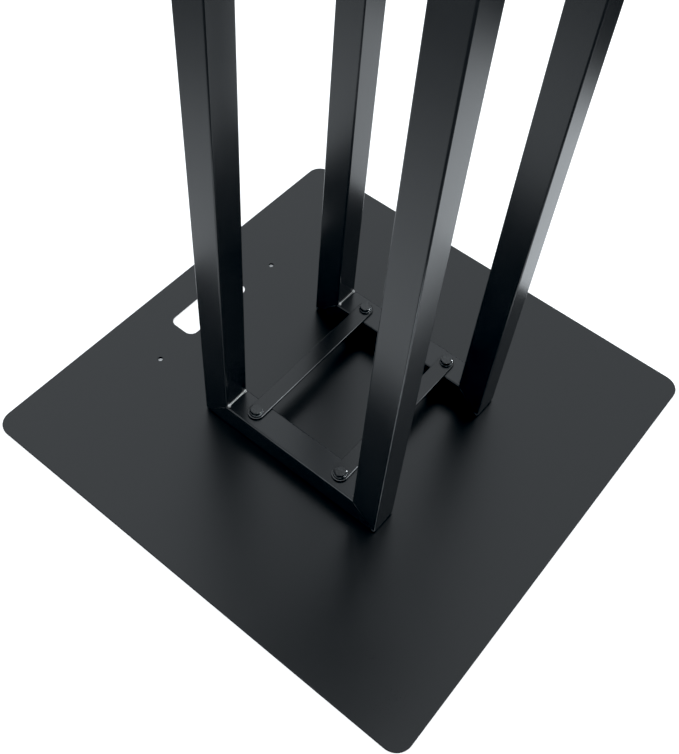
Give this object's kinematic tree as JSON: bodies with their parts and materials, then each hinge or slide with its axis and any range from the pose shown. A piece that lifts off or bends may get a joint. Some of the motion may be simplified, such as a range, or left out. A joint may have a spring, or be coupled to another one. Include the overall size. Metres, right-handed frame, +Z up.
{
  "type": "light totem stand",
  "caption": "Free-standing light totem: square floor plate with a carry slot, a tower of two welded square-tube frames tied by bolted flat bars, and a drilled top plate for a lamp.",
  "frame": {"origin": "on the floor, under the middle of the base plate", "axes": "+Z up along the tower, +Y towards the plate's edge with the carry slot, the two welded frames at -X and +X"},
  "size_m": [0.6, 0.6, 1],
  "materials": {
    "powder_coat": "black satin powder coat on steel, fine even grain",
    "weld_bead": "bright rippled weld bead, thinly coated",
    "black_fastener": "black oxide steel with slightly worn corners",
    "zinc_nut": "zinc-plated clinch nut"
  },
  "bodies": {
    "root": {"base_plate": "powder_coat", "top_plate": "powder_coat", "left_front_upright": "powder_coat", "left_rear_upright": "powder_coat", "left_bottom_rail": "powder_coat", "left_top_rail": "powder_coat", "right_front_upright": "powder_coat", "right_rear_upright": "powder_coat", "right_bottom_rail": "powder_coat", "right_top_rail": "powder_coat", "front_bottom_tie_bar": "powder_coat", "rear_bottom_tie_bar": "powder_coat", "front_top_tie_bar": "powder_coat", "rear_top_tie_bar": "powder_coat", "left_welds": "weld_bead", "right_welds": "weld_bead", "bottom_bolts": "black_fastener", "bottom_washers": "black_fastener", "bottom_nuts": "zinc_nut", "top_bolts": "black_fastener", "top_washers": "black_fastener", "top_nuts": "zinc_nut"}
  },
  "joints": []
}
